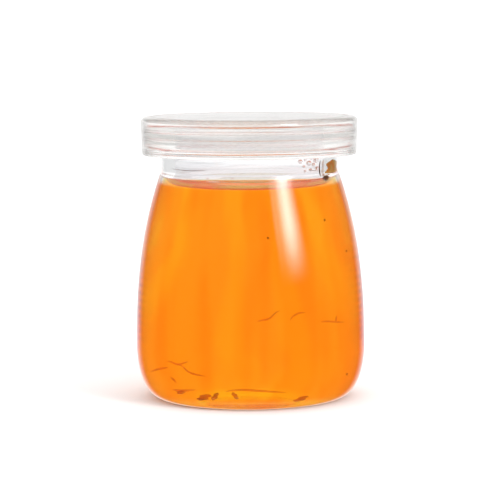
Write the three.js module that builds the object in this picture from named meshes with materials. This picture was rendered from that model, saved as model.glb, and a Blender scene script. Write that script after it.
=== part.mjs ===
// A lidded glass pudding jar filled with set jelly, in millimetres, standing on z = 0 with +Z up.
// Every piece is a body of revolution: its half section is drawn in (radius, height) and turned about Z.

import * as THREE from 'three';

// Turned pieces, and the least distance between two points of a half section
const SIDES = 60;
const LEAST_STEP = 1e-6;

// Outside of the jar
const BODY_RADIUS = 33.0;
const BELLY_Z = 15.0;
const FOOT_RADIUS = 25.0;
const HEEL_OUT = 6.8;
const HEEL_UP = 3.9;
const NECK_RADIUS = 25.6;
const NECK_Z = 65.4;
const SHOULDER_POWER = 2.39;

// Underside, pushed up inside the ring that the jar stands on
const PUSH_RADIUS = 22.0;
const PUSH_DEPTH = 0.6;

// Rim that the lid snaps over
const RIM_RADIUS = 29.55;
const RIM_BOTTOM_Z = 72.6;
const RIM_TOP_Z = 79.4;
const RIM_FILLET = 1.4;
const RIM_LOWER_ROUND = 0.9;
const RIM_UPPER_ROUND = 0.8;
const LIP_ROUND = 1.2;

// Inside of the jar, from the thickness of its wall, which grows from the belly to the neck
const BELLY_WALL = 3.0;
const NECK_WALL = 4.1;
const WALL_START_Z = 20.0;
const WALL_END_Z = 58.0;
const CAVITY_BELLY_Z = 16.0;
const FLOOR_Z = 3.0;
const FLOOR_RADIUS = 22.0;
const FLOOR_OUT = 5.4;
const FLOOR_UP = 3.8;
const BORE_RADIUS = NECK_RADIUS - NECK_WALL;

// Jelly, set to just under the neck and drawn up a little where it meets the glass
const LEVEL_Z = 61.0;
const JELLY_GAP = 0.25;
const MENISCUS_RISE = 2.2;
const MENISCUS_REACH = 3.0;

// Lid, a clear cap whose skirt has a snap bead below the rim
const LID_TOP_Z = 81.2;
const LID_BOTTOM_Z = 70.3;
const LID_TOP_RADIUS = 31.25;
const LID_BOTTOM_RADIUS = 30.9;
const LID_PLATE = 1.45;
const LID_TOP_ROUND = 1.6;
const LID_FOOT_ROUND = 0.35;
const SKIRT_INNER_RADIUS = 29.9;
const BEAD_DEPTH = 0.9;
const BEAD_HALF_HEIGHT = 0.8;
const BEAD_Z = 71.4;

// Steps along each kind of curve in a half section
const PUSH_STEPS = 4;
const HEEL_STEPS = 8;
const SHOULDER_STEPS = 10;
const ROUND_STEPS = 3;
const BEAD_STEPS = 6;
const MENISCUS_STEPS = 4;

const GLASS_COLOUR = 0xe9eef0;
const JELLY_COLOUR = 0xff8f19;
const LID_COLOUR = 0xe6e3e0;

function point(radius, height) {
  return new THREE.Vector2(radius, height);
}

// An arc of a circle in the half section, with angles in quarter turns from the outward direction.
function arc(radius, height, size, fromQuarter, toQuarter, steps = ROUND_STEPS) {
  const start = fromQuarter * Math.PI / 2;
  const end = toQuarter * Math.PI / 2;
  return new THREE.EllipseCurve(radius, height, size, size, start, end, end < start).getPoints(steps);
}

// A rounded corner from a flat floor to an upright wall.
function heel(floorRadius, floorHeight, wallRadius, wallHeight, out, up) {
  const curve = new THREE.CubicBezierCurve(
    point(floorRadius, floorHeight),
    point(floorRadius + out, floorHeight),
    point(wallRadius, wallHeight - up),
    point(wallRadius, wallHeight),
  );
  return curve.getPoints(HEEL_STEPS);
}

// The wall leans in by a power of the height above the belly, so that it is upright at the belly.
function outerRadius(height) {
  const share = (height - BELLY_Z) / (NECK_Z - BELLY_Z);
  return BODY_RADIUS - (BODY_RADIUS - NECK_RADIUS) * share ** SHOULDER_POWER;
}

function innerRadius(height) {
  const share = THREE.MathUtils.smoothstep(height, WALL_START_Z, WALL_END_Z);
  return outerRadius(height) - BELLY_WALL - (NECK_WALL - BELLY_WALL) * share;
}

function shoulder(radiusAt, start, end) {
  return Array.from({ length: SHOULDER_STEPS + 1 }, (_, step) => {
    const height = start + (end - start) * step / SHOULDER_STEPS;
    return point(radiusAt(height), height);
  });
}

// The shallow hollow under the jar, highest on the axis.
function pushUp() {
  return Array.from({ length: PUSH_STEPS + 1 }, (_, step) => {
    const share = step / PUSH_STEPS;
    return point(PUSH_RADIUS * share, PUSH_DEPTH * (1 - share ** 2));
  });
}

// The wall and floor that face the contents, from the axis up to a given height, set inwards by a gap.
function cavity(gap, end) {
  const radiusAt = (height) => innerRadius(height) - gap;
  return [
    point(0, FLOOR_Z + gap),
    ...heel(FLOOR_RADIUS, FLOOR_Z + gap, radiusAt(CAVITY_BELLY_Z), CAVITY_BELLY_Z, FLOOR_OUT, FLOOR_UP),
    ...shoulder(radiusAt, CAVITY_BELLY_Z, end),
  ];
}

function jarSection() {
  return [
    ...pushUp(),
    ...heel(FOOT_RADIUS, 0, BODY_RADIUS, BELLY_Z, HEEL_OUT, HEEL_UP),
    ...shoulder(outerRadius, BELLY_Z, NECK_Z),
    ...arc(NECK_RADIUS + RIM_FILLET, RIM_BOTTOM_Z - RIM_FILLET, RIM_FILLET, 2, 1),
    ...arc(RIM_RADIUS - RIM_LOWER_ROUND, RIM_BOTTOM_Z + RIM_LOWER_ROUND, RIM_LOWER_ROUND, -1, 0),
    ...arc(RIM_RADIUS - RIM_UPPER_ROUND, RIM_TOP_Z - RIM_UPPER_ROUND, RIM_UPPER_ROUND, 0, 1),
    ...arc(BORE_RADIUS + LIP_ROUND, RIM_TOP_Z - LIP_ROUND, LIP_ROUND, 1, 2),
    ...cavity(0, NECK_Z).reverse(),
  ];
}

// The top edge curls up to the glass as a quarter of an ellipse.
function jellySection() {
  const wall = cavity(JELLY_GAP, LEVEL_Z + MENISCUS_RISE);
  const edge = wall.at(-1).x;
  const curl = new THREE.EllipseCurve(
    edge - MENISCUS_REACH, LEVEL_Z + MENISCUS_RISE, MENISCUS_REACH, MENISCUS_RISE, 0, -Math.PI / 2, true,
  );
  return [...wall, ...curl.getPoints(MENISCUS_STEPS), point(0, LEVEL_Z)];
}

function lidSection() {
  const ceiling = LID_TOP_Z - LID_PLATE;
  const bead = new THREE.EllipseCurve(
    SKIRT_INNER_RADIUS, BEAD_Z, BEAD_DEPTH, BEAD_HALF_HEIGHT, Math.PI / 2, 3 * Math.PI / 2, false,
  );
  return [
    point(0, ceiling),
    point(SKIRT_INNER_RADIUS, ceiling),
    ...bead.getPoints(BEAD_STEPS),
    point(SKIRT_INNER_RADIUS, LID_BOTTOM_Z),
    ...arc(LID_BOTTOM_RADIUS - LID_FOOT_ROUND, LID_BOTTOM_Z + LID_FOOT_ROUND, LID_FOOT_ROUND, -1, 0),
    ...arc(LID_TOP_RADIUS - LID_TOP_ROUND, LID_TOP_Z - LID_TOP_ROUND, LID_TOP_ROUND, 0, 1),
    point(0, LID_TOP_Z),
  ];
}

// Turns a half section about the axis, which the lathe keeps along Y, and stands it up along Z.
function turned(name, section, look) {
  const outline = section.filter(
    (here, index) => index === 0 || here.distanceTo(section[index - 1]) > LEAST_STEP,
  );
  const geometry = new THREE.LatheGeometry(outline, SIDES);
  geometry.rotateX(Math.PI / 2);
  const mesh = new THREE.Mesh(geometry, new THREE.MeshStandardMaterial(look));
  mesh.name = name;
  return mesh;
}

const jar = new THREE.Group();
jar.add(
  turned('glass_jar', jarSection(), {
    color: GLASS_COLOUR, roughness: 0.03, metalness: 0, transparent: true, opacity: 0.35,
  }),
  turned('jelly', jellySection(), { color: JELLY_COLOUR, roughness: 0.15, metalness: 0 }),
  turned('press_on_lid', lidSection(), {
    color: LID_COLOUR, roughness: 0.2, metalness: 0, transparent: true, opacity: 0.5,
  }),
);

export default jar;
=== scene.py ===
"""Looks of a lidded glass pudding jar filled with set jelly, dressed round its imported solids.

Everything is in metres with +Z up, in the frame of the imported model. Sizes are written in millimetres
times MM. Each main piece is a body of revolution, worked out as whole arrays from its half section,
and each flaw in the jelly is a tapered thread or a flattened ball.
"""

import logging
import math
from dataclasses import dataclass, replace
from enum import Enum

import bpy
import numpy as np
from bpy.types import Material, NodeInputs, NodeSocket, NodeTree, Object
from mathutils import Matrix


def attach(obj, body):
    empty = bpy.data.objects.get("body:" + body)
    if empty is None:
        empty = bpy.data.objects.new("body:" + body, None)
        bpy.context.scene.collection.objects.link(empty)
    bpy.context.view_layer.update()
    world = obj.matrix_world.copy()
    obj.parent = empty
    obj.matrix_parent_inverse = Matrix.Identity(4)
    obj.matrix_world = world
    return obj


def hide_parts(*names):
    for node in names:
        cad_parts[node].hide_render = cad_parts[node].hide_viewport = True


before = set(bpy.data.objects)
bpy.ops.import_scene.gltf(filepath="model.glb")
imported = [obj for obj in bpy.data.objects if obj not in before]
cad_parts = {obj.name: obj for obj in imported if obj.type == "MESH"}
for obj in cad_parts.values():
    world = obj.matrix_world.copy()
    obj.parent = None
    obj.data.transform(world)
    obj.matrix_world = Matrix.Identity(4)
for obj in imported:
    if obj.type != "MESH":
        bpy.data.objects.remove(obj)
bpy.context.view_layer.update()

MM = 0.001
LEAST_STEP = 1e-7
PEBBLE_RINGS, PEBBLE_SIDES = 15, 18
BODY = "root"

Pair = tuple[float, float]
Triple = tuple[float, float, float]

log = logging.getLogger("pudding_jar")


class Slot(Enum):
    """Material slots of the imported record."""

    GLASS = "glass"
    JELLY = "jelly"
    LID = "lid"


class Node(Enum):
    """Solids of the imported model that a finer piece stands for."""

    JAR = "glass_jar"
    JELLY = "jelly"
    LID = "press_on_lid"


# Half sections and surfaces


def line(start: Pair, end: Pair, count: int) -> np.ndarray:
    """A straight stretch, P(t) = start + (end - start) (1 - cos pi t) / 2, closest-spaced at its ends."""
    share = (1.0 - np.cos(np.pi * np.linspace(0.0, 1.0, count)))[:, None] / 2.0
    return np.array(start) + (np.array(end) - np.array(start)) * share


def arc(centre: Pair, size: Pair, quarters: Pair, count: int) -> np.ndarray:
    """A stretch of an ellipse, P(a) = centre + (rx cos a, rz sin a), a in quarter turns from outwards."""
    angle = np.linspace(quarters[0], quarters[1], count) * np.pi / 2.0
    return np.array(centre) + np.column_stack([size[0] * np.cos(angle), size[1] * np.sin(angle)])


def heel(floor: Pair, wall: Pair, out: float, up: float, count: int) -> np.ndarray:
    """A cubic Bezier corner that leaves a floor level and meets a wall upright.

    Args:
        floor: radius and height where it leaves the floor.
        wall: radius and height where it meets the wall.
        out: length of the handle along the floor.
        up: length of the handle along the wall.
        count: number of points.

    Returns:
        Array of shape (count, 2).
    """
    t = np.linspace(0.0, 1.0, count)[:, None]
    handle_out = np.array([floor[0] + out, floor[1]])
    handle_up = np.array([wall[0], wall[1] - up])
    return (
        (1 - t) ** 3 * np.array(floor)
        + 3 * t * (1 - t) ** 2 * handle_out
        + 3 * t**2 * (1 - t) * handle_up
        + t**3 * np.array(wall)
    )


def joined(*stretches: np.ndarray) -> np.ndarray:
    """One section from stretches laid end to end, with doubled points dropped.

    Args:
        stretches: arrays of shape (n, 2) in order.

    Returns:
        Array of shape (total, 2).
    """
    points = np.concatenate(stretches)
    step = np.linalg.norm(np.diff(points, axis=0), axis=1)
    return points[np.concatenate([[True], step > LEAST_STEP])]


def smooth(points: np.ndarray, count: int) -> np.ndarray:
    """A cubic Hermite curve through points, its slopes taken by central differences.

    Args:
        points: at least two points, shape (n, d).
        count: number of points on the curve.

    Returns:
        Array of shape (count, d).
    """
    along = np.linspace(0.0, len(points) - 1.0, count)
    here = np.minimum(along.astype(int), len(points) - 2)
    t = (along - here)[:, None]
    slope = np.gradient(points, axis=0)
    return (
        (1 + 2 * t) * (1 - t) ** 2 * points[here]
        + t * (1 - t) ** 2 * slope[here]
        + t**2 * (3 - 2 * t) * points[here + 1]
        + t**2 * (t - 1) * slope[here + 1]
    )


@dataclass(frozen=True)
class Shape:
    """A surface: places, faces of four corners and faces of three, all turning outwards."""

    vertices: np.ndarray
    quads: np.ndarray
    fans: np.ndarray


def ringed(rings: np.ndarray, ends: np.ndarray) -> Shape:
    """A closed surface over rings of points, shut at both ends by a fan to one point.

    Args:
        rings: places, shape (n, m, 3), each ring turning right-handed about the way they follow each other.
        ends: the first and the last point, shape (2, 3).

    Returns:
        The surface, with the faces between rings in order and the first fan before the last.
    """
    count, sides = rings.shape[:2]
    index = np.arange(count * sides).reshape(count, sides)
    after = np.roll(index, -1, axis=1)
    quads = np.stack([index[:-1], after[:-1], after[1:], index[1:]], axis=-1).reshape(-1, 4)
    first = np.stack([np.full(sides, count * sides), after[0], index[0]], axis=-1)
    last = np.stack([index[-1], after[-1], np.full(sides, count * sides + 1)], axis=-1)
    return Shape(np.concatenate([rings.reshape(-1, 3), ends]), quads, np.concatenate([first, last]))


def turned(section: np.ndarray, sides: int) -> Shape:
    """Turns a half section about Z: P(s, a) = (r(s) cos a, r(s) sin a, z(s)).

    Args:
        section: radius and height of each point, shape (n, 2), starting and ending on the axis.
        sides: number of steps round the axis.

    Returns:
        The closed surface.
    """
    angle = np.linspace(0.0, 2.0 * np.pi, sides, endpoint=False)
    radius, height = section[1:-1, :1], section[1:-1, 1:]
    rings = np.stack([radius * np.cos(angle), radius * np.sin(angle), height + 0.0 * angle], axis=-1)
    return ringed(rings, np.array([[0.0, 0.0, section[0, 1]], [0.0, 0.0, section[-1, 1]]]))


def around(radius: np.ndarray, bearing: np.ndarray, height: np.ndarray) -> np.ndarray:
    """Places (r sin b, -r cos b, z) at bearings b in radians from the front, -Y, towards +X."""
    return np.stack(np.broadcast_arrays(radius * np.sin(bearing), -radius * np.cos(bearing), height), axis=-1)


def thread(path: np.ndarray, width: float, sides: int = 8) -> Shape:
    """A round thread, P(s, a) = c(s) + w(s) (cos a N + sin a B), thinning as w = width sqrt(sin pi s).

    Args:
        path: places c along it, shape (n, 3); N points away from the axis.
        width: greatest half width.
        sides: number of steps round it.

    Returns:
        The closed surface.
    """
    ahead = np.gradient(path, axis=0)
    ahead /= np.linalg.norm(ahead, axis=1, keepdims=True)
    beside = np.cross(ahead, path * np.array([1.0, 1.0, 0.0]))
    beside /= np.linalg.norm(beside, axis=1, keepdims=True)
    outward = np.cross(beside, ahead)
    angle = np.linspace(0.0, 2.0 * np.pi, sides, endpoint=False)[None, :, None]
    reach = width * np.sqrt(np.sin(np.pi * np.linspace(0.0, 1.0, len(path))))[1:-1, None, None]
    round_it = np.cos(angle) * outward[1:-1, None] + np.sin(angle) * beside[1:-1, None]
    return ringed(path[1:-1, None] + reach * round_it, path[[0, -1]])


def pebble(place: Triple, size: Triple, lean: float = 0.0, ragged: float = 0.0) -> Shape:
    """A flattened ball, over angles u round it and v along its height.

    Its radius is r + t cos v cos u, its height z + h sin v, and its bearing
    b + (w / r) (s cos v sin u + l sin v), where the wave s = 1 + k sin (6 v + 40 b) makes it ragged.

    Args:
        place: radius r, bearing b and height z of its middle.
        size: half thickness t away from the axis, half width w and half height h.
        lean: l, how far its top leans over, as a share of its half width.
        ragged: k, the height of the wave.

    Returns:
        The closed surface.
    """
    v = np.linspace(-0.5, 0.5, PEBBLE_RINGS)[:, None] * np.pi
    u = np.linspace(0.0, 2.0 * np.pi, PEBBLE_SIDES, endpoint=False)
    radius = place[0] + size[0] * np.cos(v) * np.cos(u)
    swell = 1.0 + ragged * np.sin(6.0 * v + 40.0 * place[1])
    bearing = place[1] + size[1] / place[0] * (swell * np.cos(v) * np.sin(u) + lean * np.sin(v))
    rings = around(radius, bearing, place[2] + size[2] * np.sin(v))
    return ringed(rings[1:-1], rings[[0, -1], 0])


def mesh_piece(name: str, *shapes: Shape) -> Object:
    """A smooth mesh object at the origin, linked to the scene.

    Args:
        name: name of the object and its mesh.
        shapes: the surfaces that it is made of.

    Returns:
        The new object.
    """
    starts = np.cumsum([0] + [len(shape.vertices) for shape in shapes])
    vertices = np.concatenate([shape.vertices for shape in shapes])
    quads = np.concatenate([shape.quads + start for shape, start in zip(shapes, starts)])
    fans = np.concatenate([shape.fans + start for shape, start in zip(shapes, starts)])
    mesh = bpy.data.meshes.new(name)
    mesh.from_pydata(vertices.tolist(), [], quads.tolist() + fans.tolist())
    mesh.shade_smooth()
    mesh.update()
    piece = bpy.data.objects.new(name, mesh)
    bpy.context.scene.collection.objects.link(piece)
    return piece


# Finishes


SocketValue = NodeSocket | float | tuple[float, ...]

# How many times finer the ripple's second noise is, and the soft edges of the noise masks
FINER = 5.0
HAZE_EDGE = (0.45, 0.75)
BAND_EDGE = (0.42, 0.58)
STAIN_EDGE = (0.35, 0.65)


def feed(tree: NodeTree, socket: NodeSocket, value: SocketValue) -> None:
    """Links a value to a socket, or sets it where it is plain numbers.

    Args:
        tree: tree of the socket.
        socket: an input.
        value: another node's output, or plain numbers.
    """
    if isinstance(value, NodeSocket):
        tree.links.new(value, socket)
    else:
        socket.default_value = value


def math_node(tree: NodeTree, operation: str, *values: SocketValue) -> NodeSocket:
    """Adds one Math node.

    Args:
        tree: tree to add it to.
        operation: what it does.
        values: what goes into it, in order.

    Returns:
        Its output.
    """
    node = tree.nodes.new("ShaderNodeMath")
    node.operation = operation
    for socket, value in zip(node.inputs, values):
        feed(tree, socket, value)
    return node.outputs["Value"]


def ramp(tree: NodeTree, value: NodeSocket, span: Pair, ends: Pair = (0.0, 1.0)) -> NodeSocket:
    """Adds a soft ramp from one value to another over a span.

    Args:
        tree: tree to add it to.
        value: what is ramped.
        span: where the ramp starts and ends.
        ends: what it gives at its start and end.

    Returns:
        Socket with the ramped value.
    """
    node = tree.nodes.new("ShaderNodeMapRange")
    node.interpolation_type = "SMOOTHSTEP"
    node.inputs["From Min"].default_value, node.inputs["From Max"].default_value = span
    node.inputs["To Min"].default_value, node.inputs["To Max"].default_value = ends
    feed(tree, node.inputs["Value"], value)
    return node.outputs["Result"]


def choose(tree: NodeTree, test: NodeSocket, if_not: SocketValue, if_so: SocketValue) -> NodeSocket:
    """Adds a choice between two numbers.

    Args:
        tree: tree to add it to.
        test: 0 or 1.
        if_not: the number where the test is 0.
        if_so: the number where it is 1.

    Returns:
        Socket with the chosen number.
    """
    node = tree.nodes.new("ShaderNodeMix")
    node.data_type = "FLOAT"
    feed(tree, node.inputs["Factor"], test)
    feed(tree, node.inputs["A"], if_not)
    feed(tree, node.inputs["B"], if_so)
    return node.outputs["Result"]


def blend(tree: NodeTree, share: NodeSocket, first: SocketValue, second: SocketValue) -> NodeSocket:
    """Adds a blend of two colours.

    Args:
        tree: tree to add it to.
        share: share of the second colour.
        first: the first colour, a socket or red, green, blue and 1.
        second: the second colour, likewise.

    Returns:
        Socket with the blended colour.
    """
    node = tree.nodes.new("ShaderNodeMixRGB")
    feed(tree, node.inputs["Fac"], share)
    feed(tree, node.inputs["Color1"], first)
    feed(tree, node.inputs["Color2"], second)
    return node.outputs["Color"]


def place_on_piece(tree: NodeTree) -> NodeSocket:
    """Adds the place on the piece, in metres, as a socket."""
    return tree.nodes.new("ShaderNodeTexCoord").outputs["Object"]


def stretched(tree: NodeTree, factors: SocketValue) -> NodeSocket:
    """Adds the place on the piece times a factor along each axis.

    Args:
        tree: tree to add it to.
        factors: the three factors.

    Returns:
        Socket with the stretched place.
    """
    node = tree.nodes.new("ShaderNodeVectorMath")
    node.operation = "MULTIPLY"
    feed(tree, node.inputs[0], place_on_piece(tree))
    feed(tree, node.inputs[1], factors)
    return node.outputs["Vector"]


def noise(tree: NodeTree, place: NodeSocket, scale: SocketValue, detail: float = 2.0,
          distortion: float = 0.0) -> NodeSocket:
    """Adds one noise texture.

    Args:
        tree: tree to add it to.
        place: where it is read.
        scale: how many waves fit in a metre.
        detail: how many finer sizes are added.
        distortion: how far it is swirled.

    Returns:
        Socket with the noise.
    """
    node = tree.nodes.new("ShaderNodeTexNoise")
    feed(tree, node.inputs["Vector"], place)
    feed(tree, node.inputs["Scale"], scale)
    feed(tree, node.inputs["Detail"], detail)
    feed(tree, node.inputs["Distortion"], distortion)
    return node.outputs["Fac"]


def new_group(name: str, inputs: dict[str, float], output: str) -> NodeTree:
    """An empty shader node group with number sockets.

    Args:
        name: name of the group.
        inputs: name and usual value of each input.
        output: name of its output.

    Returns:
        The group, with its Group Input and Group Output nodes made.
    """
    group = bpy.data.node_groups.new(name, "ShaderNodeTree")
    for label, value in inputs.items():
        socket = group.interface.new_socket(label, in_out="INPUT", socket_type="NodeSocketFloat")
        socket.default_value = value
    group.interface.new_socket(output, in_out="OUTPUT", socket_type="NodeSocketFloat")
    group.nodes.new("NodeGroupInput")
    group.nodes.new("NodeGroupOutput")
    return group


def moulded_ripple_group() -> NodeTree:
    """Slow unevenness of a moulded surface, as a bump height: two sizes of noise, added.

    Returns:
        Group with inputs Scale, Stretch and Fine, and the output Height.
    """
    group = new_group("moulded_ripple", {"Scale": 60.0, "Stretch": 0.3, "Fine": 0.2}, "Height")
    given = group.nodes["Group Input"].outputs
    factors = group.nodes.new("ShaderNodeCombineXYZ")
    for label, value in (("X", 1.0), ("Y", 1.0), ("Z", given["Stretch"])):
        feed(group, factors.inputs[label], value)
    place = stretched(group, factors.outputs["Vector"])
    slow = noise(group, place, given["Scale"], detail=1.0)
    fine = noise(group, place, math_node(group, "MULTIPLY", given["Scale"], FINER))
    height = math_node(group, "MULTIPLY_ADD", fine, given["Fine"], slow)
    feed(group, group.nodes["Group Output"].inputs["Height"], height)
    return group


def handling_haze_group() -> NodeTree:
    """Faint smears left by handling, as a roughness: Clean + Haze times a soft-edged noise mask.

    Returns:
        Group with inputs Clean, Haze and Scale, and the output Roughness.
    """
    group = new_group("handling_haze", {"Clean": 0.01, "Haze": 0.03, "Scale": 90.0}, "Roughness")
    given = group.nodes["Group Input"].outputs
    smears = noise(group, place_on_piece(group), given["Scale"], detail=3.0, distortion=0.6)
    mask = ramp(group, smears, HAZE_EDGE)
    roughness = math_node(group, "MULTIPLY_ADD", mask, given["Haze"], given["Clean"])
    feed(group, group.nodes["Group Output"].inputs["Roughness"], roughness)
    return group


def grouped(tree: NodeTree, group: NodeTree, values: dict[str, float]) -> NodeSocket:
    """Adds one of the shared groups.

    Args:
        tree: tree to add it to.
        group: the shared group.
        values: a number for each of its inputs that is set.

    Returns:
        Its one output.
    """
    node = tree.nodes.new("ShaderNodeGroup")
    node.node_tree = group
    for label, value in values.items():
        node.inputs[label].default_value = value
    return node.outputs[0]


def new_material(name: str) -> tuple[Material, NodeTree, NodeInputs]:
    """A new material with one shader.

    Args:
        name: its name.

    Returns:
        The material, its tree and the inputs of its shader.
    """
    made = bpy.data.materials.new(name)
    made.use_nodes = True
    return made, made.node_tree, made.node_tree.nodes["Principled BSDF"].inputs


@dataclass(frozen=True)
class Absorption:
    """Light taken by each metre of a clear body, as a colour that is kept and a density."""

    colour: Triple
    density: float


@dataclass(frozen=True)
class ClearFinish:
    """A clear material: its tint, how it bends light, its haze and its moulded unevenness."""

    name: str
    tint: Triple
    ior: float
    clean: float
    haze: float
    haze_scale: float
    ripple_scale: float
    ripple_stretch: float
    ripple_fine: float
    ripple_depth: float
    transmission: float = 1.0
    absorption: Absorption | None = None

    def material(self, ripple: NodeTree, haze: NodeTree) -> Material:
        """Makes the material from the shared groups.

        Args:
            ripple: group that gives the bump height.
            haze: group that gives the roughness.

        Returns:
            The new material.
        """
        made, tree, shader = new_material(self.name)
        smears = {"Clean": self.clean, "Haze": self.haze, "Scale": self.haze_scale}
        waves = {"Scale": self.ripple_scale, "Stretch": self.ripple_stretch, "Fine": self.ripple_fine}
        bump = tree.nodes.new("ShaderNodeBump")
        bump.inputs["Strength"].default_value = 1.0
        bump.inputs["Distance"].default_value = self.ripple_depth
        feed(tree, bump.inputs["Height"], grouped(tree, ripple, waves))
        feed(tree, shader["Normal"], bump.outputs["Normal"])
        feed(tree, shader["Roughness"], grouped(tree, haze, smears))
        feed(tree, shader["Base Color"], self.colour(tree))
        shader["Metallic"].default_value = 0.0
        shader["IOR"].default_value = self.ior
        shader["Transmission Weight"].default_value = self.transmission
        if self.absorption:
            depth = tree.nodes.new("ShaderNodeVolumeAbsorption")
            depth.inputs["Color"].default_value = (*self.absorption.colour, 1.0)
            depth.inputs["Density"].default_value = self.absorption.density
            feed(tree, tree.nodes["Material Output"].inputs["Volume"], depth.outputs["Volume"])
        return made

    def colour(self, tree: NodeTree) -> SocketValue:
        """The tint, as red, green, blue and 1, with nothing added to the tree."""
        return (*self.tint, 1.0)


@dataclass(frozen=True)
class BandedFinish(ClearFinish):
    """A clear material whose tint runs in faint bands and may fade at its foot and head."""

    deep_tint: Triple = (1.0, 1.0, 1.0)
    band_scale: float = 100.0
    band_stretch: Triple = (1.0, 1.0, 0.05)
    foot: Pair = (-2.0, -1.0)
    foot_share: float = 0.0
    head: Pair = (1.0, 2.0)

    def colour(self, tree: NodeTree) -> SocketValue:
        """White, tint and deep tint, mixed by height and by noise stretched along the bands.

        Args:
            tree: tree of the material.

        Returns:
            Socket with the mixed colour.
        """
        parts = tree.nodes.new("ShaderNodeSeparateXYZ")
        feed(tree, parts.inputs["Vector"], place_on_piece(tree))
        rise = ramp(tree, parts.outputs["Z"], self.foot, (self.foot_share, 1.0))
        fall = ramp(tree, parts.outputs["Z"], self.head, (1.0, 0.0))
        band = ramp(tree, noise(tree, stretched(tree, self.band_stretch), self.band_scale), BAND_EDGE)
        banded = blend(tree, band, (*self.tint, 1.0), (*self.deep_tint, 1.0))
        return blend(tree, math_node(tree, "MULTIPLY", rise, fall), (1.0, 1.0, 1.0, 1.0), banded)


@dataclass(frozen=True)
class StainFinish:
    """A stain or speck: two colours mixed by fine noise, partly clear."""

    name: str
    light: Triple
    dark: Triple
    transmission: float
    ior: float
    scale: float = 900.0
    roughness: float = 0.3

    def material(self, haze: NodeTree) -> Material:
        """Makes the material.

        Args:
            haze: group that gives the roughness.

        Returns:
            The new material.
        """
        made, tree, shader = new_material(self.name)
        mixed = ramp(tree, noise(tree, place_on_piece(tree), self.scale), STAIN_EDGE)
        feed(tree, shader["Base Color"], blend(tree, mixed, (*self.light, 1.0), (*self.dark, 1.0)))
        feed(tree, shader["Roughness"], grouped(tree, haze, {"Clean": self.roughness}))
        shader["Transmission Weight"].default_value = self.transmission
        shader["IOR"].default_value = self.ior
        return made


# Where the jelly holds on less, towards the shoulder, the glass bends light more, in steps
GLASS_IOR = 1.5
JELLY_IOR = 1.36
LOOSE_IOR = 1.11
WET_STEPS = 16

GLASS_FINISH = ClearFinish(
    name="pressed_glass", tint=(0.985, 0.99, 0.99), ior=GLASS_IOR,
    clean=0.0, haze=0.015, haze_scale=70.0,
    ripple_scale=90.0, ripple_stretch=0.35, ripple_fine=0.05, ripple_depth=0.04 * MM,
)
# The bore above the contents is misted, a real haze; its grey tint with darker horizontal bands is painted
# shade, standing in for the dark lines that the thick neck shows.
BORE_GLASS_FINISH = BandedFinish(
    name="pressed_glass_misted_shade_banded", tint=(0.88, 0.87, 0.88), deep_tint=(0.62, 0.61, 0.63),
    ior=GLASS_IOR, clean=0.0, haze=0.05, haze_scale=150.0, band_scale=120.0, band_stretch=(0.15, 0.15, 5.0),
    ripple_scale=90.0, ripple_stretch=2.0, ripple_fine=0.05, ripple_depth=0.06 * MM,
)
WET_GLASS_FINISHES = [
    replace(GLASS_FINISH, name=f"pressed_glass_wet_{step}", ior=GLASS_IOR / float(ior))
    for step, ior in enumerate(np.linspace(JELLY_IOR, LOOSE_IOR, WET_STEPS))
]
# The jelly's tint and deeper tint run in upright bands: painted light and shade, standing in for the upright
# light and dark bands of the studio on the jar.
JELLY_FINISH = BandedFinish(
    name="set_jelly", tint=(1.0, 0.42, 0.07), deep_tint=(1.0, 0.31, 0.04), ior=1.0,
    transmission=0.88, clean=0.0, haze=0.0, haze_scale=120.0,
    ripple_scale=60.0, ripple_stretch=0.6, ripple_fine=0.1, ripple_depth=0.05 * MM,
    absorption=Absorption(colour=(1.0, 0.95, 0.0), density=120.0),
    foot=(2.9 * MM, 4.0 * MM), foot_share=0.5, head=(60.8 * MM, 62.1 * MM),
)
SKIN_FINISH = ClearFinish(
    name="jelly_skin", tint=(1.0, 0.93, 0.84), ior=JELLY_IOR,
    clean=0.0, haze=0.03, haze_scale=120.0,
    ripple_scale=60.0, ripple_stretch=0.6, ripple_fine=0.1, ripple_depth=0.05 * MM,
)
SKIN_BACK_FINISH = replace(SKIN_FINISH, name="jelly_skin_back", tint=(1.0, 1.0, 1.0), ior=1.0)
LID_FINISH = BandedFinish(
    name="clear_plastic", tint=(1.0, 0.995, 0.985), deep_tint=(0.90, 0.895, 0.88), ior=1.48,
    clean=0.09, haze=0.06, haze_scale=60.0, band_scale=110.0, band_stretch=(0.12, 0.12, 6.0),
    absorption=Absorption(colour=(0.50, 0.45, 0.40), density=9.0),
    ripple_scale=110.0, ripple_stretch=1.0, ripple_fine=0.08, ripple_depth=0.03 * MM,
)
CREASE_FINISH = StainFinish(
    "crease", light=(0.93, 0.60, 0.30), dark=(0.78, 0.43, 0.16), transmission=0.92, ior=1.02, roughness=0.05,
)
FLAKE_FINISH = StainFinish(
    "flake", light=(0.80, 0.45, 0.12), dark=(0.50, 0.24, 0.05), transmission=0.75, ior=1.02, scale=500.0,
)
# Dark specks in the jelly; the same finish colours the painted shade lines and the painted dark reflection on
# the bore.
SPECK_AND_SHADE_FINISH = StainFinish(
    "speck_and_painted_shade", light=(0.24, 0.09, 0.02), dark=(0.08, 0.03, 0.015), transmission=0.0, ior=JELLY_IOR,
)
SMEAR_FINISH = StainFinish(
    "smear", light=(1.0, 0.62, 0.14), dark=(1.0, 0.36, 0.04), transmission=0.3, ior=JELLY_IOR, scale=450.0,
)
DROP_FINISH = StainFinish(
    "drop", light=(0.97, 0.97, 0.98), dark=(0.85, 0.85, 0.87), transmission=1.0, ior=1.33, roughness=0.0,
)


# Pieces


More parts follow.
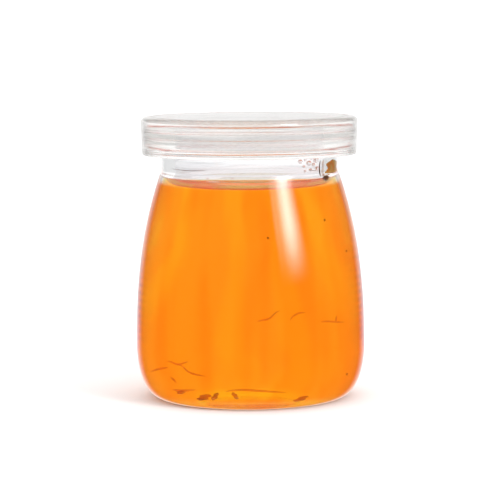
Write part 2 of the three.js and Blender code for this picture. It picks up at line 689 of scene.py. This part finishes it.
def dress(piece: Object, materials: list[Material], slot: Slot, node: Node | None = None) -> Object:
    """Gives a piece its materials and its place in the frame.

    Args:
        piece: the new piece.
        materials: its finishes, in the order of the faces' material numbers.
        slot: the record's slot for those finishes.
        node: the solid it stands for, if any.

    Returns:
        The same piece.
    """
    for material in materials:
        piece.data.materials.append(material)
    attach(piece, BODY)
    if node is not None:
        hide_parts(node.value)
    log.info("%s: %d faces, slot %s", piece.name, len(piece.data.polygons), slot.value)
    return piece


def band_finishes(piece: Object, numbers: np.ndarray, sides: int) -> None:
    """Gives each band of a turned piece one of its materials.

    Args:
        piece: a piece made by turned.
        numbers: for each band between two section points, the number of its material.
        sides: number of steps round the axis.
    """
    inner = np.repeat(numbers[1:-1], sides)
    ends = np.repeat(numbers[[0, -1]], sides)
    piece.data.polygons.foreach_set("material_index", np.concatenate([inner, ends]).astype(np.int32))


@dataclass
class GlassJar:
    """The jar: rounded heel, belly, sloping shoulder, short neck, heavy rim and pushed-up underside."""

    body_radius: float = 33.0 * MM
    belly_z: float = 15.0 * MM
    foot_radius: float = 25.0 * MM
    heel_out: float = 6.8 * MM
    heel_up: float = 3.9 * MM
    neck_radius: float = 25.6 * MM
    neck_z: float = 65.4 * MM
    shoulder_power: float = 2.39
    push_radius: float = 22.0 * MM
    push_depth: float = 0.6 * MM
    rim_radius: float = 29.55 * MM
    rim_bottom_z: float = 72.6 * MM
    rim_top_z: float = 79.4 * MM
    rim_fillet: float = 1.4 * MM
    rim_lower_round: float = 0.9 * MM
    rim_upper_round: float = 0.8 * MM
    lip_round: float = 1.2 * MM
    belly_wall: float = 3.0 * MM
    neck_wall: float = 4.1 * MM
    wall_span: Pair = (20.0 * MM, 58.0 * MM)
    cavity_belly_z: float = 16.0 * MM
    loose_span: Pair = (14.0 * MM, 46.0 * MM)
    floor_z: float = 3.0 * MM
    floor_radius: float = 22.0 * MM
    floor_out: float = 5.4 * MM
    floor_up: float = 3.8 * MM
    sides: int = 256

    def underside(self) -> np.ndarray:
        """The pushed-up hollow, z(r) = depth (1 - (r / radius) squared), and the ring it stands on.

        Returns:
            Section from the axis to the outer edge of the standing ring.
        """
        radius = np.linspace(0.0, self.push_radius, 24)
        hollow = np.column_stack([radius, self.push_depth * (1.0 - (radius / self.push_radius) ** 2)])
        return joined(hollow, line((self.push_radius, 0.0), (self.foot_radius, 0.0), 6))

    @property
    def bore_radius(self) -> float:
        """Radius of the mouth, inside the neck."""
        return self.neck_radius - self.neck_wall

    def wall_radius(self, height: np.ndarray) -> np.ndarray:
        """Outer radius above the belly, r = belly - (belly - neck) (rise / full rise) ** power."""
        share = (height - self.belly_z) / (self.neck_z - self.belly_z)
        return self.body_radius - (self.body_radius - self.neck_radius) * share**self.shoulder_power

    def wall_thickness(self, height: np.ndarray) -> np.ndarray:
        """Thickness of the glass, a smooth step s s (3 - 2 s) from the belly's to the neck's.

        Args:
            height: heights from the belly to the neck.

        Returns:
            Thickness at each height.
        """
        start, end = self.wall_span
        s = np.clip((height - start) / (end - start), 0.0, 1.0)
        return self.belly_wall + (self.neck_wall - self.belly_wall) * s * s * (3.0 - 2.0 * s)

    def outside(self) -> np.ndarray:
        """The heel, belly, shoulder, neck and rim.

        Returns:
            Section from the standing ring up and over the rim to the lip.
        """
        fillet, lower, upper = self.rim_fillet, self.rim_lower_round, self.rim_upper_round
        lip, bottom, top = self.lip_round, self.rim_bottom_z, self.rim_top_z
        neck, rim, mouth = self.neck_radius, self.rim_radius, self.bore_radius + lip
        height = np.linspace(self.belly_z, self.neck_z, 44)
        return joined(
            heel((self.foot_radius, 0.0), (self.body_radius, self.belly_z), self.heel_out, self.heel_up, 28),
            np.column_stack([self.wall_radius(height), height]),
            line((neck, self.neck_z), (neck, bottom - fillet), 10),
            arc((neck + fillet, bottom - fillet), (fillet, fillet), (2, 1), 9),
            arc((rim - lower, bottom + lower), (lower, lower), (-1, 0), 8),
            line((rim, bottom + lower), (rim, top - upper), 8),
            arc((rim - upper, top - upper), (upper, upper), (0, 1), 10),
            line((rim - upper, top), (mouth, top), 6),
            arc((mouth, top - lip), (lip, lip), (1, 2), 10),
        )

    def cavity(self, reach: float, end: float) -> np.ndarray:
        """The wall and floor that face the contents, moved outwards by a reach.

        Args:
            reach: how far the surface lies beyond the glass's own inner face.
            end: height of the last point.

        Returns:
            Section from the axis up to that height.
        """
        floor = self.floor_z - reach
        height = np.linspace(self.cavity_belly_z, end, 44)
        wall = self.wall_radius(height) - self.wall_thickness(height) + reach
        return joined(
            line((0.0, floor), (self.floor_radius, floor), 12),
            heel((self.floor_radius, floor), (wall[0], height[0]), self.floor_out, self.floor_up, 24),
            np.column_stack([wall, height]),
        )

    def section(self, wet_z: float) -> np.ndarray:
        """The whole half section, from the underside's middle round to the floor's middle.

        Args:
            wet_z: height up to which the contents touch the glass, which gets a ring of its own.

        Returns:
            Section that starts and ends on the axis.
        """
        bore = self.bore_radius
        dry = self.cavity(0.0, self.neck_z)
        wet = self.cavity(0.0, wet_z)
        return joined(
            self.underside(),
            self.outside(),
            line((bore, self.rim_top_z - self.lip_round), (bore, self.neck_z), 12),
            dry[dry[:, 1] > wet_z][::-1],
            wet[::-1],
        )

    def build(self, wet_z: float, dry: Material, misted_and_shaded: Material, wet: list[Material]) -> Object:
        """Makes and dresses the jar.

        Args:
            wet_z: height up to which the contents touch the glass.
            dry: the glass against air.
            misted_and_shaded: the bore of the neck, above the contents, misted and painted with grey bands of
                shade.
            wet: the glass against the contents, from the foot up to where the contents hold on least.

        Returns:
            The new piece.
        """
        section = self.section(wet_z)
        piece = mesh_piece("jar_glass", turned(section, self.sides))
        bands = np.arange(len(section) - 1)
        middle = (section[1:, 1] + section[:-1, 1]) / 2.0
        low, high = self.loose_span
        step = np.clip((middle - low) / (high - low), 0.0, 1.0) * (len(wet) - 1)
        is_wet = bands >= len(section) - len(self.cavity(0.0, wet_z))
        is_bore = bands >= len(self.underside()) + len(self.outside()) - 2
        band_finishes(piece, np.where(is_wet, 2 + np.rint(step), is_bore), self.sides)
        return dress(piece, [dry, misted_and_shaded, *wet], Slot.GLASS, Node.JAR)


@dataclass
class Jelly:
    """The jelly: fills the jar to its level, curls up at the glass and reaches just into the wall."""

    jar: GlassJar
    level_z: float = 61.0 * MM
    reach: float = 0.15 * MM
    meniscus_rise: float = 2.4 * MM
    meniscus_reach: float = 3.0 * MM
    skin: float = 0.3 * MM
    sides: int = 256

    def top(self, drop: float) -> np.ndarray:
        """The curled edge, z(s) = level + rise s squared, then the level top.

        Args:
            drop: how far the surface lies below the jelly's own.

        Returns:
            Section from the wall to the axis.
        """
        edge = self.jar.cavity(self.reach, self.level_z + self.meniscus_rise)[-1, 0]
        inner, level = edge - self.meniscus_reach, self.level_z - drop
        share = np.linspace(1.0, 0.0, 16)
        curl = np.column_stack([inner + self.meniscus_reach * share, level + self.meniscus_rise * share**2])
        return joined(curl, line((inner, level), (0.0, level), 16))

    def fill_section(self) -> np.ndarray:
        """Section of the cavity's wall, then the top, half way down into the skin."""
        top = self.top(self.skin / 2.0)
        return joined(self.jar.cavity(self.reach, top[0, 1])[:-1], top)

    def skin_section(self) -> np.ndarray:
        """Section of the skin's underside, then of its top."""
        return joined(self.top(self.skin)[::-1], self.top(0.0))

    def wet_z(self) -> float:
        """Height at which the curled edge meets the glass's inner face."""
        share = 1.0 - self.reach / self.meniscus_reach
        return self.level_z + self.meniscus_rise * share**2

    def build_fill(self, material: Material) -> Object:
        """Makes the body of the jelly and dresses it in its material."""
        piece = mesh_piece("jelly_fill", turned(self.fill_section(), self.sides))
        return dress(piece, [material], Slot.JELLY, Node.JELLY)

    def build_skin(self, front: Material, back: Material) -> Object:
        """Makes and dresses the wet skin that the jelly has towards the air.

        Args:
            front: the skin towards the air.
            back: the skin towards the jelly, which bends no light.

        Returns:
            The new piece.
        """
        section = self.skin_section()
        piece = mesh_piece("jelly_skin", turned(section, self.sides))
        under = np.arange(len(section) - 1) < len(self.top(self.skin))
        band_finishes(piece, under.astype(int), self.sides)
        return dress(piece, [front, back], Slot.JELLY, Node.JELLY)


@dataclass
class PressOnLid:
    """The cap: flat top with a rounded edge, tapered skirt and a snap bead below the jar's rim."""

    top_z: float = 81.2 * MM
    bottom_z: float = 70.3 * MM
    top_radius: float = 31.25 * MM
    bottom_radius: float = 30.9 * MM
    plate: float = 1.45 * MM
    top_round: float = 1.6 * MM
    foot_round: float = 0.35 * MM
    skirt_inner_radius: float = 29.9 * MM
    ceiling_round: float = 0.35 * MM
    bead_depth: float = 0.9 * MM
    bead_half_height: float = 0.8 * MM
    bead_z: float = 71.4 * MM
    rib_size: Pair = (0.15 * MM, 0.35 * MM)
    rib_heights: Pair = (77.6 * MM, 75.2 * MM)
    groove_radius: float = 28.2 * MM
    groove_size: Pair = (0.55 * MM, 0.22 * MM)
    sides: int = 256

    def section(self) -> np.ndarray:
        """The ceiling, the skirt's inside with ribs and bead, the foot, its outside and the top.

        Returns:
            Section that starts and ends on the axis.
        """
        ceiling = self.top_z - self.plate
        inner, corner, foot = self.skirt_inner_radius, self.ceiling_round, self.foot_round
        rib, groove = self.rib_size[1], self.groove_size[0]
        upper, lower = self.rib_heights
        bead_top = self.bead_z + self.bead_half_height
        bead_bottom = self.bead_z - self.bead_half_height
        outer_foot = self.bottom_radius - foot
        outer_top = self.top_radius - self.top_round
        edge_z = self.top_z - self.top_round
        return joined(
            line((0.0, ceiling), (inner - corner, ceiling), 20),
            arc((inner - corner, ceiling - corner), (corner, corner), (1, 0), 6),
            line((inner, ceiling - corner), (inner, upper + rib), 5),
            arc((inner, upper), self.rib_size, (1, 3), 9),
            line((inner, upper - rib), (inner, lower + rib), 5),
            arc((inner, lower), self.rib_size, (1, 3), 9),
            line((inner, lower - rib), (inner, bead_top), 8),
            arc((inner, self.bead_z), (self.bead_depth, self.bead_half_height), (1, 3), 16),
            line((inner, bead_bottom), (inner, self.bottom_z), 5),
            line((inner, self.bottom_z), (outer_foot, self.bottom_z), 5),
            arc((outer_foot, self.bottom_z + foot), (foot, foot), (-1, 0), 6),
            line((self.bottom_radius, self.bottom_z + foot), (self.top_radius, edge_z), 12),
            arc((outer_top, edge_z), (self.top_round, self.top_round), (0, 1), 12),
            line((outer_top, self.top_z), (self.groove_radius + groove, self.top_z), 4),
            arc((self.groove_radius, self.top_z), self.groove_size, (0, -2), 9),
            line((self.groove_radius - groove, self.top_z), (0.0, self.top_z), 20),
        )

    def build(self, material: Material) -> Object:
        """Makes the lid and dresses it in its clear plastic."""
        piece = mesh_piece("lid_plastic", turned(self.section(), self.sides))
        return dress(piece, [material], Slot.LID, Node.LID)


@dataclass
class Flaws:
    """Creases, flakes and specks just inside the jelly, a smear and drops that cling to the bore above it,
    and painted shade lines and a painted dark reflection on the bore.

    Each starts with a bearing in degrees from the front and a height in millimetres. Then come half the
    width and height and the lean of a flake, half the thickness, width and height of the painted dark
    reflection and the smear, and the radius of a drop.
    """

    jar: GlassJar
    sink: float = 0.3 * MM
    crease_width: float = 0.26 * MM
    flake_thickness: float = 0.15
    speck_size: float = 0.3
    flake_wave: float = 0.3
    bore_wave: float = 0.25
    creases: tuple[tuple[Pair, ...], ...] = (
        ((2.9, 25.5), (6.0, 25.8), (9.2, 26.1), (11.3, 26.8), (13.5, 27.9), (15.7, 28.2)),
        ((21.0, 25.3), (22.2, 26.3), (24.5, 27.0), (26.9, 27.4), (30.4, 27.4)),
        ((39.0, 24.4), (43.2, 24.4), (47.5, 24.1), (52.3, 23.7), (58.4, 23.4)),
        ((50.6, 23.8), (51.2, 24.9), (51.7, 25.6)),
        ((-49.4, 13.3), (-45.7, 13.1), (-41.6, 12.7), (-37.4, 13.3), (-34.1, 14.0)),
        ((-67.1, 9.5), (-60.8, 10.3), (-54.6, 11.0), (-49.4, 11.5)),
        ((-41.6, 12.7), (-38.3, 12.2), (-36.1, 11.2), (-33.1, 10.6), (-29.4, 10.3), (-24.2, 10.0)),
        ((-49.4, 9.0), (-46.8, 8.3), (-45.3, 7.3)),
        ((-14.9, 6.1), (-6.2, 6.6), (5.1, 6.3), (21.1, 5.6)),
        ((-51.7, 5.6), (-43.3, 5.7), (-32.2, 6.2)),
    )
    # Thin dark lines on the bore, one upright and two level: painted shade, standing in for the dark lines
    # that the thick neck's refraction shows.
    painted_shade_lines: tuple[tuple[Pair, ...], ...] = (
        ((57.3, 63.9), (57.9, 65.4), (57.5, 67.2), (58.6, 69.2)),
        ((-70.0, 66.8), (-51.4, 66.6), (-40.0, 66.7), (-32.0, 66.9)),
        ((45.7, 66.5), (50.0, 66.4), (56.0, 66.3)),
    )
    painted_shade_line_widths: tuple[float, ...] = (0.16 * MM, 0.07 * MM, 0.07 * MM)
    flakes: tuple[tuple[float, ...], ...] = (
        (-29.5, 4.4, 1.7, 0.8, 0.7), (-21.8, 4.7, 0.8, 1.0, 0.9), (-9.4, 5.0, 0.7, 0.9, -0.8),
        (32.4, 3.9, 1.6, 0.6, 0.9), (-45.0, 5.2, 1.5, 0.5, 0.4),
    )
    specks: tuple[Pair, ...] = ((10.6, 48.2), (51.6, 52.0), (68.4, 42.7), (63.8, 8.7))
    # A dark patch on the bore: a painted dark reflection, standing in for the dark patch that the thick neck
    # shows.
    painted_dark_reflection: tuple[float, ...] = (63.8, 63.3, 0.3, 1.5, 0.9)
    smear: tuple[float, ...] = (77.0, 66.0, 0.35, 4.4, 2.9)
    drops: tuple[tuple[float, ...], ...] = (
        (38.4, 69.1, 0.60), (41.6, 67.6, 0.38), (43.0, 69.5, 0.42), (46.4, 68.5, 0.70), (48.9, 69.7, 0.35),
        (50.9, 68.0, 0.48), (47.9, 66.6, 0.40), (53.9, 69.2, 0.75), (55.0, 66.9, 0.52), (42.5, 66.3, 0.30),
        (-30.3, 64.2, 0.30), (-12.0, 64.4, 0.28),
    )

    def wall(self, height: np.ndarray, sink: float) -> np.ndarray:
        """Distance to the axis at the glass's inner face, or a little inside it.

        Args:
            height: heights above the floor of the jar.
            sink: how far inside the face.

        Returns:
            Radius at each height.
        """
        wall = self.jar.cavity(-sink, self.jar.neck_z)
        wall = wall[np.argmax(wall[:, 0] >= self.jar.floor_radius):]
        return np.interp(height, wall[:, 1], wall[:, 0])

    def along(self, points: tuple[Pair, ...], sink: float, width: float) -> Shape:
        """A tapered thread along the wall.

        Args:
            points: bearing in degrees and height in millimetres of some of its points.
            sink: how far inside the glass's inner face it lies.
            width: its greatest half width.

        Returns:
            The closed surface.
        """
        course = smooth(np.array(points), 24)
        height = course[:, 1] * MM
        return thread(around(self.wall(height, sink), np.radians(course[:, 0]), height), width)

    def lump(self, place: Pair, size: Triple, wave: float, sink: float = 0.0, lean: float = 0.0) -> Shape:
        """A flattened ball along the wall, inside the jelly or half sunk in the bore of the neck.

        Args:
            place: bearing in degrees and height in millimetres of its middle.
            size: half its thickness, width and height, in millimetres.
            wave: how ragged it is.
            sink: how far inside the glass's inner face it lies.
            lean: how far its top leans over, as a share of its half width.

        Returns:
            The closed surface.
        """
        bearing, height = math.radians(place[0]), place[1] * MM
        thick, width, tall = (length * MM for length in size)
        radius = float(self.wall(np.array(height), sink))
        return pebble((radius, bearing, height), (thick, width, tall), lean, wave)

    def build(self, crease: Material, flake: Material, speck_and_painted_shade: Material,
              smear: Material, drop: Material) -> None:
        """Makes and dresses all of them.

        Args:
            crease: finish of the creases.
            flake: finish of the flakes.
            speck_and_painted_shade: finish of the dark specks, and of the painted shade lines and the painted
                dark reflection on the bore.
            smear: finish of the smear of jelly on the bore.
            drop: finish of the drops.
        """
        painted_shade_lines = [self.along(points, 0.0, width) for points, width in zip(self.painted_shade_lines, self.painted_shade_line_widths)]
        creases = [self.along(points, self.sink, self.crease_width) for points in self.creases]
        thick, wave, dot = self.flake_thickness, self.flake_wave, self.speck_size
        flakes = [
            self.lump((bearing, height), (thick, width, tall), wave, self.sink, lean)
            for bearing, height, width, tall, lean in self.flakes
        ]
        specks = [self.lump(place, (thick, dot, dot), wave, self.sink) for place in self.specks]
        painted_dark_reflection, smear_shape = (self.lump(one[:2], one[2:], self.bore_wave) for one in (self.painted_dark_reflection, self.smear))
        drops = [self.lump(one[:2], one[2:] * 3, self.bore_wave) for one in self.drops]
        # The specks share a piece with the painted shade lines and the painted dark reflection on the bore.
        for name, shapes, material in (
            ("jelly_creases", creases, crease),
            ("jelly_flakes", flakes, flake),
            ("specks_and_painted_bore_shade", [*specks, painted_dark_reflection, *painted_shade_lines], speck_and_painted_shade),
            ("bore_smear", [smear_shape], smear),
            ("bore_drops", drops, drop),
        ):
            dress(mesh_piece(name, *shapes), [material], Slot.JELLY)


# Studio


@dataclass
class Studio:
    """The photograph's viewpoint, a pale floor and soft all-round light with one upright strip."""

    camera_distance: float = 700.0 * MM
    camera_height: float = 112.2 * MM
    camera_tilt_deg: float = 5.69
    camera_roll_deg: float = 0.4
    focal_mm: float = 175.2
    sensor_mm: float = 36.0
    clip: Pair = (0.01, 100.0)
    ground_radius: float = 8.0
    ground_sides: int = 96
    floor_colour: Triple = (0.93, 0.93, 0.93)
    diffuse_strength: float = 1.35
    seen_strength: float = 1.1
    through_strength: float = 1.3
    turned_back_strength: float = 0.82
    turned_back_span: Pair = (-0.02, 0.12)
    front_strength: float = 0.08
    back_strength: float = 1.05
    front_to_back: Pair = (0.75, 0.95)
    overhead: Pair = (0.62, 0.9)
    low_sky: Pair = (-0.05, 0.01)
    low_sky_share: float = 0.85
    strip_strength: float = 17.0
    strip_glow: float = 0.15
    strip_lean: float = 0.38
    strip_glow_left: Pair = (0.54, 0.61)
    strip_left: Pair = (0.63, 0.80)
    strip_right: Pair = (0.80, 0.965)
    strip_foot: Pair = (0.06, 0.34)
    strip_head: Pair = (0.52, 0.70)
    strip_back: Pair = (-0.1, 0.0)
    light_bounces: int = 64
    diffuse_bounces: int = 8

    def add_camera(self) -> None:
        """Looks along +Y from the front, tilted down, with the small lean of the photograph."""
        lens = bpy.data.cameras.new("camera")
        lens.lens = self.focal_mm
        lens.sensor_width = self.sensor_mm
        lens.clip_start, lens.clip_end = self.clip
        camera = bpy.data.objects.new("camera", lens)
        upright = Matrix.Rotation(math.radians(90.0 - self.camera_tilt_deg), 4, "X")
        lean = Matrix.Rotation(math.radians(-self.camera_roll_deg), 4, "Z")
        place = Matrix.Translation((0.0, -self.camera_distance, self.camera_height))
        camera.matrix_world = place @ upright @ lean
        bpy.context.scene.collection.objects.link(camera)
        bpy.context.scene.camera = camera

    def add_floor(self) -> None:
        """A pale matt disc, P(a) = radius (cos a, sin a), just under the standing ring."""
        angle = np.linspace(0.0, 2.0 * np.pi, self.ground_sides, endpoint=False)
        rim = np.column_stack([np.cos(angle), np.sin(angle), np.zeros_like(angle)]) * self.ground_radius
        corner = np.arange(len(angle))
        fans = np.column_stack([corner, np.roll(corner, -1), np.full_like(corner, len(angle))])
        disc = Shape(np.concatenate([rim, np.zeros((1, 3))]), np.empty((0, 4), dtype=int), fans)
        floor = mesh_piece("floor", disc)
        matt, _, shader = new_material("pale_floor")
        shader["Base Color"].default_value = (*self.floor_colour, 1.0)
        shader["Roughness"].default_value = 1.0
        shader["Specular IOR Level"].default_value = 0.0
        floor.data.materials.append(matt)
        floor.visible_glossy = False
        floor.visible_transmission = False

    def add_surround(self) -> None:
        """An even white surround for matt and clear things, with a darker front and a strip in mirrors."""
        world = bpy.data.worlds.new("surround")
        bpy.context.scene.world = world
        world.use_nodes = True
        tree = world.node_tree
        rays = tree.nodes.new("ShaderNodeLightPath").outputs
        parts = tree.nodes.new("ShaderNodeSeparateXYZ")
        feed(tree, parts.inputs["Vector"], tree.nodes.new("ShaderNodeTexCoord").outputs["Generated"])
        way = parts.outputs
        strength = self.mirrored(tree, way["X"], way["Y"], way["Z"])
        for ray, value in (
            ("Is Transmission Ray", self.passed(tree, rays["Glossy Depth"], way["Z"])),
            ("Is Diffuse Ray", self.diffuse_strength),
            ("Is Camera Ray", self.seen_strength),
        ):
            strength = choose(tree, rays[ray], strength, value)
        background = tree.nodes["Background"].inputs
        feed(tree, background["Strength"], strength)
        background["Color"].default_value = (1.0, 1.0, 1.0, 1.0)

    def passed(self, tree: NodeTree, mirrors: NodeSocket, lift: NodeSocket) -> NodeSocket:
        """Brightness that light passing through clear things meets.

        It is dimmer low down for light that was mirrored once on its way.

        Args:
            tree: tree of the surround.
            mirrors: how many times the light was mirrored.
            lift: Z part of the direction.

        Returns:
            Socket with the brightness.
        """
        dim = ramp(tree, lift, self.turned_back_span, (self.turned_back_strength, self.through_strength))
        once = math_node(tree, "COMPARE", mirrors, 1.0, 0.5)
        return choose(tree, once, self.through_strength, dim)

    def mirrored(self, tree: NodeTree, side: NodeSocket, depth: NodeSocket, lift: NodeSocket) -> NodeSocket:
        """Brightness that mirror reflections meet: dim in front, bright behind and above, and a strip.

        What is behind is dimmer above the horizon. The strip is ramps on its bearing, X + lean Z, and on
        Y and Z, multiplied, so that all its edges are soft.

        Args:
            tree: tree of the surround.
            side: X part of the direction.
            depth: Y part of the direction.
            lift: Z part of the direction.

        Returns:
            Socket with the brightness.
        """
        bearing = math_node(tree, "MULTIPLY_ADD", lift, self.strip_lean, side)
        glow = ramp(tree, bearing, self.strip_glow_left, (0.0, self.strip_glow))
        core = ramp(tree, bearing, self.strip_left, (0.0, 1.0 - self.strip_glow))
        strip = math_node(tree, "ADD", glow, core)
        for edge in (
            ramp(tree, bearing, self.strip_right, (1.0, 0.0)),
            ramp(tree, lift, self.strip_foot, (0.0, 1.0)),
            ramp(tree, lift, self.strip_head, (1.0, 0.0)),
            ramp(tree, depth, self.strip_back, (1.0, 0.0)),
        ):
            strip = math_node(tree, "MULTIPLY", strip, edge)
        lit = math_node(tree, "MULTIPLY", strip, self.strip_strength)
        ends = (self.front_strength, self.back_strength)
        low_sky = ramp(tree, lift, self.low_sky, (1.0, self.low_sky_share))
        behind = math_node(tree, "MULTIPLY", ramp(tree, depth, self.front_to_back, ends), low_sky)
        above = ramp(tree, lift, self.overhead, ends)
        return math_node(tree, "ADD", lit, math_node(tree, "MAXIMUM", behind, above))

    def build(self) -> None:
        """Sets the camera, floor, surround, plain colours and how often light may bounce."""
        self.add_camera()
        self.add_floor()
        self.add_surround()
        scene = bpy.context.scene
        scene.view_settings.view_transform = "Standard"
        scene.cycles.max_bounces = self.light_bounces
        scene.cycles.transmission_bounces = self.light_bounces
        scene.cycles.glossy_bounces = self.light_bounces
        scene.cycles.diffuse_bounces = self.diffuse_bounces


def main() -> None:
    """Builds the studio, then the jar, the jelly, its flaws and the lid."""
    logging.basicConfig(level=logging.INFO, format="%(name)s: %(message)s")
    Studio().build()
    ripple = moulded_ripple_group()
    haze = handling_haze_group()
    jar = GlassJar()
    jelly = Jelly(jar)
    glass = [finish.material(ripple, haze) for finish in (GLASS_FINISH, BORE_GLASS_FINISH)]
    jar.build(jelly.wet_z(), *glass, [finish.material(ripple, haze) for finish in WET_GLASS_FINISHES])
    jelly.build_fill(JELLY_FINISH.material(ripple, haze))
    jelly.build_skin(SKIN_FINISH.material(ripple, haze), SKIN_BACK_FINISH.material(ripple, haze))
    stains = (CREASE_FINISH, FLAKE_FINISH, SPECK_AND_SHADE_FINISH, SMEAR_FINISH, DROP_FINISH)
    Flaws(jar).build(*[finish.material(haze) for finish in stains])
    PressOnLid().build(LID_FINISH.material(ripple, haze))


if __name__ == "__main__":
    main()
